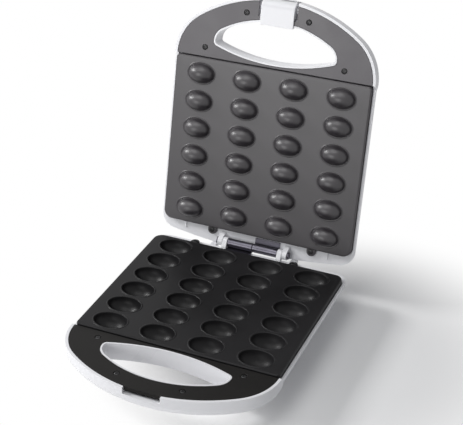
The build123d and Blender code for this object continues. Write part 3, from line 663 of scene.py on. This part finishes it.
def carved(piece: Piece, cutter: Piece, sharp: float = 32.0) -> Piece:
    """Cut one object out of another and keep the result as plain mesh.

    Args:
        piece: The object to cut.
        cutter: What is taken out of it, which is then deleted.
        sharp: Angle in degrees over which edges stay sharp.

    Returns:
        The cut object.
    """
    cut = piece.modifiers.new("Cut", "BOOLEAN")
    cut.operation = "DIFFERENCE"
    cut.solver = "EXACT"
    cut.use_self = True
    cut.object = cutter
    bpy.context.view_layer.update()
    depsgraph = bpy.context.evaluated_depsgraph_get()
    mesh = bpy.data.meshes.new_from_object(piece.evaluated_get(depsgraph))
    piece.modifiers.clear()
    piece.data = mesh
    mesh.set_sharp_from_angle(angle=math.radians(sharp))
    bpy.data.objects.remove(cutter, do_unlink=True)
    return piece


def placed(piece: Piece, place: Matrix) -> Piece:
    """Move a piece's mesh from the drawing to its place on the open machine.

    Args:
        piece: The piece, in millimetres about the parting plane.
        place: Where the drawing goes.

    Returns:
        The same piece.
    """
    piece.data.transform(place)
    if place.determinant() < 0:
        piece.data.flip_normals()
    return piece


class Workshop:
    """Hands out materials and sets finished pieces on their bodies."""

    # The lid's plate and cover take lighter copies of their finishes, whose extra lightness is
    # painted sheen
    OWN_FINISHES = {
        "upper_plate": Finish.LID_COATING, "upper_handle_cover": Finish.LID_COVER,
        "lower_hinge_leaf": Finish.HINGE, "upper_hinge_leaf": Finish.HINGE,
        "hinge_pin": Finish.HINGE,
    }

    def __init__(self) -> None:
        """Build every material and dress the CAD nodes."""
        effects = Effects()
        self.materials = {surface.finish: surface.build(effects) for surface in SURFACES}
        record = frame["record"]
        slots = {part["node"]: Finish(part["material_slot"]) for part in record["subparts"]}
        self.finish_of = slots | self.OWN_FINISHES
        self.body_of = {node: body for body, nodes in record["behaviour"]["bodies"].items()
                        for node in nodes}
        for name, node in frame["nodes"].items():
            if not node.data.materials:
                node.data.materials.append(None)
            for slot in node.material_slots:
                slot.link = "OBJECT"
                slot.material = self.materials[self.finish_of[name]]

    def deliver(self, piece: Piece, body: str, finish: Finish, *nodes: str) -> None:
        """Dress a piece, let it ride on its body and stand for CAD nodes.

        Args:
            piece: The finished piece.
            body: The CAD body it moves with.
            finish: Its finish.
            *nodes: The CAD nodes that it stands for.
        """
        piece.data.materials.clear()
        piece.data.materials.append(self.materials[finish])
        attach(piece, body)
        if nodes:
            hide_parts(*nodes)
        LOG.info("%s rides on %s, %d faces, for %s", piece.name, body,
                 len(piece.data.polygons), nodes or "detail")

    def stand_in(self, piece: Piece, node: str) -> None:
        """Deliver a piece in place of one CAD node, on its body and in its finish."""
        self.deliver(piece, self.body_of[node], self.finish_of[node], node)


# Sub-assemblies


@dataclass(frozen=True)
class Mould:
    """A half egg in or on a plate's face, and the ring round it.

    Attributes:
        size: Half its length and half its width.
        side: 1 if it rises from the face, -1 if it goes down.
        angles: How far round it each of its ovals lies, in degrees.
        ring: How far out and how high each oval of its ring lies.
    """

    size: Point
    side: int
    angles: tuple[int, ...]
    ring: tuple[Point, ...] = ()

    def ovals(self, face: float) -> list[Spot]:
        """List its ovals from the outside inwards.

        Args:
            face: Height of the plate's face.

        Returns:
            Half length, half width and height of each.
        """
        length, width = self.size
        ovals = [(length + out, width + out, face + rise) for out, rise in self.ring]
        for angle in map(math.radians, self.angles):
            shrink, reach = math.cos(angle), self.side * math.sin(angle)
            ovals.append((length * shrink, width * shrink, face + width * reach))
        return ovals


@dataclass
class BakingPlate:
    """A cast baking plate with its moulds, rings, ears, lugs and posts.

    Attributes:
        half: Which half it belongs to.
        pitch: Distance between moulds along X and Y.
        columns: Moulds across.
        rows: Moulds from front to rear.
        half_x: Half its width.
        half_y: Half its depth from handle to hinge.
        corners: Radius of its corners at the handle and at the hinge.
        face: Height of its face.
        web: Height of its web's underside.
        skirt_bottom: Height of its skirt's edge.
        skirt: Thickness of its skirt.
        edge: Rounding of its rim.
        steps: Edges in each oval of its face.
        boss_steps: Edges in each oval of its underside.
    """

    CAVITY: ClassVar[Mould] = Mould(
        (18.5, 13.5), -1, (10, 20, 30, 40, 50, 60, 69, 77, 84),
        ((2.25, 0.0), (1.95, 0.0), (1.72, 0.16), (1.45, 0.36), (1.05, 0.46), (0.65, 0.4),
         (0.34, 0.2), (0.1, -0.1), (0.0, -0.5)))
    BUMP: ClassVar[Mould] = Mould(
        (15.3, 10.7), 1, (8, 16, 25, 34, 43, 52, 61, 70, 78, 85),
        ((2.6, 0.0), (2.3, 0.0), (2.1, 0.14), (1.8, 0.3), (1.45, 0.34), (1.1, 0.24),
         (0.8, 0.06), (0.5, 0.02), (0.22, 0.22), (0.04, 0.6)))
    BOSS: ClassVar[Mould] = Mould((20.9, 15.5), -1, (24, 36, 48, 60, 72, 83))
    BOSS_FOOT: ClassVar[Point] = (20.9, 15.4)
    WASHER: ClassVar[tuple[Point, ...]] = ((2.0, -0.4), (4.4, -0.4), (4.4, 0.1), (4.0, 0.45),
                                           (3.5, 0.45), (3.2, 0.1), (2.0, 0.1))
    # Ears: screw's y, half width, corner radius, top, bottom. Lugs: x, half width, reach,
    # top, bottom, screw's y. Both reach ROOT into the plate
    EAR: ClassVar[tuple[float, ...]] = (100.35, 5.25, 5.2, -2.8, -6.0)
    LUG: ClassVar[tuple[float, ...]] = (98.0, 6.0, 9.0, -6.6, -9.0, -100.5)
    ROOT: ClassVar[float] = 2.0
    POST_SPOT: ClassVar[Point] = (64.5, 31.6)
    POST_RADIUS: ClassVar[float] = 3.5
    EARS: ClassVar[dict[Half, Point]] = {Half.LOWER: (-68.0, 53.0), Half.UPPER: (68.0, -53.0)}
    POST_END: ClassVar[dict[Half, float]] = {Half.LOWER: -22.95, Half.UPPER: -10.25}

    half: Half
    pitch: Point = (55.0, 31.6)
    columns: int = 4
    rows: int = 6
    half_x: float = 114.5
    half_y: float = 97.0
    corners: Point = (4.0, 10.0)
    face: float = -0.8
    web: float = -3.8
    skirt_bottom: float = -9.0
    skirt: float = 2.5
    edge: float = 1.4
    steps: int = 44
    boss_steps: int = 32

    def centres(self) -> list[Point]:
        """Middles of the moulds."""
        across = [self.pitch[0] * (c - (self.columns - 1) / 2) for c in range(self.columns)]
        along = [self.pitch[1] * (r - (self.rows - 1) / 2) for r in range(self.rows)]
        return [(x, y) for y in along for x in across]

    def screw_spots(self) -> list[Spot]:
        """Middle of each screw, and the depth of its seat."""
        ear_y, _, _, ear_top, _ = self.EAR
        lug_x, _, _, lug_top, _, lug_y = self.LUG
        ears = [(x, ear_y, -ear_top) for x in self.EARS[self.half]]
        return ears + [(x, lug_y, -lug_top) for x in (-lug_x, lug_x)]

    def casting(self) -> Piece:
        """Model the plate as one closed casting.

        Returns:
            The plate in its place.
        """
        draft = Draft()
        bm = draft.bm
        low, high = (-self.half_x, -self.half_y), (self.half_x, self.half_y)
        draft.raise_face(draft.plan(low, high, self.corners, self.face),
                         self.skirt_bottom - self.face)
        draft.soften(draft.edges_at(self.face), self.edge, 4)
        flat = [f for f in bm.faces if abs(f.calc_center_median().z - self.face) < LEVEL]
        top = max(flat, key=lambda f: f.calc_area())
        under = min(bm.faces, key=lambda f: f.calc_center_median().z)
        outline = list(top.edges)
        bmesh.ops.inset_region(bm, faces=[under], thickness=self.skirt, use_even_offset=True)
        ends = draft.raise_face(under, self.web - self.skirt_bottom)
        bmesh.ops.delete(bm, geom=[under], context="FACES_ONLY")
        below = list(ends.edges)
        bmesh.ops.delete(bm, geom=[top, ends], context="FACES_ONLY")
        lower = self.half is Half.LOWER
        mould = self.CAVITY if lower else self.BUMP
        boss = [(*self.BOSS_FOOT, self.web), *self.BOSS.ovals(self.face)]
        for centre in self.centres():
            outline += draft.bowl(mould.ovals(self.face), centre, self.steps)
            if lower:
                below += draft.bowl(boss, centre, self.boss_steps)
        draft.fill(outline)
        draft.fill(below)
        for x in self.EARS[self.half]:
            self.add_ear(draft, x)
        self.add_lugs_and_posts(draft)
        return evened(placed(draft.finish(f"{self.half.value}_baking_plate"), self.half.place))

    def add_ear(self, draft: Draft, x: float) -> None:
        """Add a rear ear with the washer of its screw.

        Args:
            draft: The plate's mesh.
            x: Where it is across the plate.
        """
        y, half, corner, top, bottom = self.EAR
        low, high = (x - half, self.half_y - self.ROOT), (x + half, y + half)
        draft.raise_face(draft.plan(low, high, (0.0, corner), top), bottom - top)
        slack = 0.1
        rim = [e for e in draft.edges_at(top)
               if all(low[0] - slack < v.co.x < high[0] + slack and v.co.y > low[1] - slack
                      for v in e.verts)]
        draft.soften(rim, 0.6, 2)
        draft.turned(self.WASHER, (x, y, top), 32)

    def add_lugs_and_posts(self, draft: Draft) -> None:
        """Add the two front lugs and the four posts under the web.

        Args:
            draft: The plate's mesh.
        """
        lug_x, half, reach, top, bottom, _ = self.LUG
        for x in (-lug_x, lug_x):
            draft.block((x - half, -self.half_y - reach, bottom),
                        (x + half, -self.half_y + self.ROOT, top), 0.4)
        radius, start, end = self.POST_RADIUS, self.web + 0.5, self.POST_END[self.half]
        post = ((0.0, start), (radius, start), (radius, end), (0.0, end))
        for x in (-self.POST_SPOT[0], self.POST_SPOT[0]):
            for y in (-self.POST_SPOT[1], self.POST_SPOT[1]):
                draft.turned(post, (x, y, 0.0), 20)


@dataclass
class Screws:
    """A set of small pan-head screws with cross recesses.

    Attributes:
        half: The half that they hold.
        name: Name of the CAD node.
        spots: Middle of each screw, and the depth of its seat.
        head: Radius of the heads.
        rise: Height of the heads.
    """

    SHAFT: ClassVar[tuple[Point, ...]] = ((1.4, 0.0), (1.4, -8.2), (0.5, -9.0), (0.0, -9.0))
    # Length and width of a recess's slots, as shares of the head's radius, and their height
    SLOT: ClassVar[Spot] = (1.15, 0.26, 1.5)

    half: Half
    name: str
    spots: Sequence[Spot]
    head: float = 2.85
    rise: float = 1.3

    def model(self) -> Piece:
        """Turn the screws and cut their recesses, each turned further than the last.

        Returns:
            All screws of the set, as one piece.
        """
        draft, cross = Draft(), Draft()
        first_turn, next_turn, sharp = 0.5, 0.9, 40.0
        r, h = self.head, self.rise
        profile = ((0.0, h), (0.55 * r, h - 0.02), (0.8 * r, h - 0.14), (0.95 * r, h - 0.45),
                   (r, 0.35), (r, 0.0), *self.SHAFT)
        size = Matrix.Diagonal((self.SLOT[0] * r, self.SLOT[1] * r, self.SLOT[2], 1))
        for index, (x, y, seat) in enumerate(self.spots):
            draft.turned(profile, (x, y, -seat), 28)
            middle = Matrix.Translation((x, y, -seat + h))
            for across in (0.0, math.pi / 2):
                turn = Matrix.Rotation(first_turn + next_turn * index + across, 4, "Z")
                bmesh.ops.create_cube(cross.bm, size=1.0, matrix=middle @ turn @ size)
        piece = carved(draft.finish(f"{self.name}_set", sharp),
                       cross.finish("recesses", sharp), sharp)
        return placed(piece, self.half.place)


@dataclass
class HandleCover:
    """The black cover of a handle, with its hole and screw seats.

    Attributes:
        half: The half it belongs to.
        top: Height of its face.
        thickness: Its thickness.
        rim: How far inside the handle's outline it lies.
        hole_grow: How much wider its hole is than the finger hole.
        edge: Rounding of its upper edges.
        seat_depth: Depth of the screw seats.
        screws: Middles of its screws on the right side.
    """

    OUTLINE: ClassVar[Oval] = Oval(117.5, 76.0, -98.0, True)
    HOLE_FRONT: ClassVar[Oval] = Oval(70.0, 30.5, -117.5, True)
    HOLE_REAR: ClassVar[Oval] = Oval(70.0, 15.0, -117.5, False)
    LEDGE: ClassVar[tuple[Spot, Spot]] = ((-20.2, -169.9, -6.75), (20.2, -167.75, -3.2))
    LATCH_OPENING: ClassVar[dict[Half, tuple[Spot, Spot]]] = {
        Half.LOWER: ((-20.25, -190.0, -8.0), (20.25, -169.95, 3.0)),
        Half.UPPER: ((-22.5, -190.0, -8.0), (22.5, -152.5, 3.0))}
    CUT_FROM: ClassVar[float] = 2.0
    CUT_TO: ClassVar[float] = -9.0

    half: Half
    top: float = -2.5
    thickness: float = 2.2
    rim: float = 3.2
    hole_grow: float = 2.05
    edge: float = 0.45
    seat_depth: float = 1.3
    screws: tuple[Point, ...] = ((81.5, -108.5), (36.0, -154.0))

    def screw_spots(self) -> list[Spot]:
        """Middle of each screw, and the depth of its seat."""
        return [(side * x, y, self.seat_depth - self.top)
                for side in (-1, 1) for x, y in self.screws]

    def model(self) -> Piece:
        """Model the cover with its hole, seats and opening for the latch.

        Returns:
            The cover in its place.
        """
        draft = Draft()
        bm = draft.bm
        last = replace(self.OUTLINE, grow=-self.rim).draw(draft, None, self.top)
        first = max(bm.verts, key=lambda v: v.co.x)
        bmesh.ops.contextual_create(bm, geom=[last, first])
        face = bmesh.ops.contextual_create(bm, geom=list(bm.edges))["faces"][0]
        draft.raise_face(face, -self.thickness)
        draft.soften(draft.edges_at(self.top), self.edge, 3)
        if self.half is Half.LOWER:
            draft.block(*self.LEDGE)
        piece = carved(draft.finish(f"{self.half.value}_cover"), self.cutter())
        return evened(placed(piece, self.half.place))

    def hole(self, draft: Draft, z: float, grow: float) -> list[Edge]:
        """Draw the outline of the finger hole.

        Args:
            draft: The mesh to draw in.
            z: Its height.
            grow: How much wider than the finger hole it is.

        Returns:
            Its edges.
        """
        known, old = set(draft.bm.edges), set(draft.bm.verts)
        left = replace(self.HOLE_FRONT, grow=grow).draw(draft, None, z)
        replace(self.HOLE_REAR, grow=grow).draw(draft, left, z)
        made = [v for v in draft.bm.verts if v not in old]
        bmesh.ops.remove_doubles(draft.bm, verts=made, dist=0.01)
        return [e for e in draft.bm.edges if e not in known]

    def cutter(self) -> Piece:
        """Make the cutter of the hole, the screw seats and the latch's opening.

        Returns:
            The cutter.
        """
        draft = Draft()
        levels = ((self.CUT_FROM, self.edge), (self.top, self.edge),
                  (self.top - self.edge, 0.0), (self.CUT_TO, 0.0))
        loops = [self.hole(draft, z, self.hole_grow + ease) for z, ease in levels]
        for upper, lower in zip(loops, loops[1:]):
            bmesh.ops.bridge_loops(draft.bm, edges=upper + lower)
        for end in (loops[0], loops[-1]):
            bmesh.ops.edgeloop_fill(draft.bm, edges=end)
        seat = self.top - self.seat_depth
        profile = ((0.0, self.CUT_FROM), (3.55, self.CUT_FROM), (3.55, self.top),
                   (3.25, self.top - 0.3), (3.2, seat), (1.7, seat), (1.7, self.CUT_TO),
                   (0.0, self.CUT_TO))
        for side in (-1, 1):
            for x, y in self.screws:
                draft.turned(profile, (side * x, y, 0.0), 32)
        draft.block(*self.LATCH_OPENING[self.half])
        return draft.finish("cover_cutter")


class Machine:
    """The whole cookie maker: every piece that is seen, built round the frame."""

    # Width, steps and least angle of the roundings
    SOFT = {"latch": (0.6, 3, 38.0), "lower_hinge_leaf": (0.3, 2, 40.0),
            "upper_hinge_leaf": (0.3, 2, 40.0), "hinge_pin": (0.4, 2, 40.0)}
    RIBS = (((-87.7, 98.0, -6.4), (-86.3, 105.6, -4.4)), ((86.3, 98.0, -6.4), (87.7, 105.6, -4.4)))
    LENS_SPOTS = {"power_lamp_lens": (-11.0, -52.0, 0.0), "ready_lamp_lens": (11.0, -52.0, 0.0)}
    LENS_PROFILE = ((0.0, -36.5), (4.5, -36.5), (4.5, -37.45), (3.55, -37.5), (3.55, -40.0),
                    (4.6, -40.0), (4.5, -40.7), (4.0, -41.2), (3.0, -41.45), (1.6, -41.58),
                    (0.0, -41.6))
    FOOT_SPOTS = tuple((x, y, 0.0) for x in (-70.0, 70.0) for y in (-55.0, 84.0))
    FOOT_PROFILE = ((0.0, -37.6), (2.9, -37.6), (2.9, -40.0), (7.4, -40.0), (7.45, -41.0),
                    (7.0, -43.6), (6.4, -44.7), (5.7, -45.0), (2.6, -45.0), (2.3, -44.4),
                    (0.0, -44.2))
    GLAND_SPOT = (0.0, 105.5, -24.0)
    GLAND_PROFILE = ((3.6, 2.2), (6.4, 2.2), (7.4, 1.9), (8.0, 1.1), (8.0, 0.0), (5.5, 0.0),
                     (5.5, -14.5), (3.6, -14.5))
    TURNED_SHARP = 38.0

    def __init__(self, shop: Workshop) -> None:
        """Start with the shop that dresses pieces and sets them on their bodies."""
        self.shop = shop

    def build(self) -> None:
        """Build the sub-assemblies in order."""
        for half in Half:
            plate = BakingPlate(half)
            self.shop.stand_in(plate.casting(), f"{half.value}_plate")
            self.fasten(half, "plate_screws", plate.screw_spots())
        for half in Half:
            cover = HandleCover(half)
            self.shop.stand_in(cover.model(), f"{half.value}_handle_cover")
            self.fasten(half, "cover_screws", cover.screw_spots())
        self.mouldings()
        for node, spot in self.LENS_SPOTS.items():
            self.turn(node, f"{node}_domed", Half.UPPER, self.LENS_PROFILE, [spot], 40)
        self.turn("rubber_feet", "rubber_feet_round", Half.LOWER, self.FOOT_PROFILE,
                  self.FOOT_SPOTS, 36)
        self.turn("cord_gland", "cord_gland_round", Half.LOWER, self.GLAND_PROFILE,
                  [self.GLAND_SPOT], 48, True)

    def fasten(self, half: Half, kind: str, spots: Sequence[Spot]) -> None:
        """Add a half's screws of one kind, given each one's middle and seat depth."""
        node = f"{half.value}_{kind}"
        self.shop.stand_in(Screws(half, node, spots).model(), node)

    def mouldings(self) -> None:
        """Round the edges of the latch and the hinge, and add the ribs of the lid's deck."""
        for node, (width, segments, limit) in self.SOFT.items():
            self.shop.stand_in(softened(node, width, segments, limit), node)
        draft = Draft()
        for low, high in self.RIBS:
            draft.block(low, high, 0.2)
        ribs = placed(draft.finish("deck_ribs"), Half.UPPER.place)
        self.shop.deliver(ribs, "lid", Finish.SHELL)

    def turn(self, node: str, name: str, half: Half, profile: Sequence[Point],
             spots: Sequence[Spot], steps: int, along_y: bool = False) -> None:
        """Turn one shape at some spots, in place of a CAD node.

        Args:
            node: The CAD node.
            name: Name of the piece.
            half: The half it belongs to.
            profile: Radius and height of each point of the shape.
            spots: Where the shape stands.
            steps: Steps round.
            along_y: Whether its axis lies along Y and not along Z.
        """
        draft = Draft()
        for spot in spots:
            draft.turned(profile, spot, steps, along_y)
        self.shop.stand_in(placed(draft.finish(name, self.TURNED_SHARP), half.place), node)


# Studio


@dataclass(frozen=True)
class Lamp:
    """A soft lamp of the studio.

    Attributes:
        name: Its name.
        spot: Where it stands, in metres.
        aim: What it points at.
        size: Its width and height.
        power: Its power in watts.
    """

    name: str
    spot: Spot
    aim: Spot
    size: Point
    power: float

    def build(self) -> None:
        """Add the lamp."""
        data = bpy.data.lights.new(self.name, "AREA")
        data.shape = "RECTANGLE"
        data.size, data.size_y = self.size
        data.energy = self.power
        lamp = bpy.data.objects.new(self.name, data)
        turn = (Vector(self.aim) - Vector(self.spot)).to_track_quat("-Z", "Y").to_matrix()
        lamp.matrix_world = Matrix.Translation(self.spot) @ turn.to_4x4()
        bpy.context.scene.collection.objects.link(lamp)


class Studio:
    """The pale floor, the light and the camera."""

    LAMPS = (
        Lamp("overhead", (-0.3, -0.35, 1.6), (0.0, 0.0, 0.05), (1.0, 1.0), 7.5),
        Lamp("sheen_panel", (-0.55, -1.5, 0.44), (0.0, 0.15, 0.25), (0.8, 0.5), 6.4),
        Lamp("left_key", (-1.25, -0.2, 0.9), (0.0, 0.0, 0.03), (0.35, 0.35), 12.5),
    )
    WHITE = (1.0, 1.0, 1.0, 1.0)
    FLOOR_COLOUR = (0.95, 0.95, 0.95, 1.0)
    FLOOR_SIZE = 6.0
    # Round this place the floor shows its shadow; it fades between these two distances
    FADE_CENTRE = (0.13, 0.0, 0.0)
    FADE = (0.09, 0.27)
    ROOM_COLOUR = (0.94, 0.96, 1.0, 1.0)
    ROOM_STRENGTH = 0.23
    CAMERA_SPOT = (0.47254, -1.05499, 0.83020)
    CAMERA_AHEAD = (-0.34155177, 0.78971088, -0.50960683)
    CAMERA_RIGHT = (0.91770369, 0.39726520, 0.00055206)
    LENS = 100.546
    SENSOR = 36.0

    def build(self) -> None:
        """Set up the whole studio."""
        self.floor()
        self.world()
        for lamp in self.LAMPS:
            lamp.build()
        self.camera()
        bpy.context.scene.view_settings.view_transform = "Standard"

    def floor(self) -> None:
        """Lay a floor that keeps the shadow near the machine and is white far from it."""
        bm = bmesh.new()
        bmesh.ops.create_grid(bm, x_segments=1, y_segments=1, size=self.FLOOR_SIZE)
        piece = listed(bm, "floor", 32.0)
        material = bpy.data.materials.new("pale_floor")
        piece.data.materials.append(material)
        material.use_nodes = True
        graph = Graph(material.node_tree)
        shader = graph.tree.nodes["Principled BSDF"]
        shader.inputs["Base Color"].default_value = self.FLOOR_COLOUR
        shader.inputs["Roughness"].default_value = 0.75
        shader.inputs["Specular IOR Level"].default_value = 0.1
        white = graph.add("ShaderNodeEmission")
        white.inputs["Color"].default_value = self.WHITE
        place = graph.add("ShaderNodeTexCoord")
        shift = graph.add("ShaderNodeVectorMath", operation="SUBTRACT")
        shift.inputs[1].default_value = self.FADE_CENTRE
        graph.join(place.outputs["Object"], shift.inputs[0])
        reach = graph.add("ShaderNodeVectorMath", operation="LENGTH")
        graph.join(shift.outputs["Vector"], reach.inputs[0])
        fade = graph.remap(reach.outputs["Value"], self.FADE, curve="SMOOTHSTEP")
        share = graph.add("ShaderNodeMath", operation="MULTIPLY")
        graph.join(fade, share.inputs[0])
        graph.join(graph.seen_directly(), share.inputs[1])
        graph.blend(share.outputs[0], shader, white, graph.tree.nodes["Material Output"])

    def world(self) -> None:
        """Fill the room with even pale light, plain white where it is seen."""
        world = bpy.data.worlds.new("studio")
        world.use_nodes = True
        bpy.context.scene.world = world
        graph = Graph(world.node_tree)
        light = graph.tree.nodes["Background"]
        light.inputs["Color"].default_value = self.ROOM_COLOUR
        light.inputs["Strength"].default_value = self.ROOM_STRENGTH
        seen = graph.add("ShaderNodeBackground")
        seen.inputs["Color"].default_value = self.WHITE
        graph.blend(graph.seen_directly(), light, seen, graph.tree.nodes["World Output"])

    def camera(self) -> None:
        """Set the camera where the moulds' spacing in the picture puts it."""
        ahead, right = Vector(self.CAMERA_AHEAD), Vector(self.CAMERA_RIGHT)
        turn = Matrix((right, right.cross(ahead), -ahead)).transposed().to_4x4()
        data = bpy.data.cameras.new("camera")
        data.lens = self.LENS
        data.sensor_width = self.SENSOR
        camera = bpy.data.objects.new("camera", data)
        camera.matrix_world = Matrix.Translation(self.CAMERA_SPOT) @ turn
        bpy.context.scene.collection.objects.link(camera)
        bpy.context.scene.camera = camera


def main() -> None:
    """Build the machine and the studio."""
    logging.basicConfig(level=logging.INFO, format="%(name)s: %(message)s")
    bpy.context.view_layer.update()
    shop = Workshop()
    Machine(shop).build()
    Studio().build()
    bpy.context.view_layer.update()


if __name__ == "__main__":
    main()
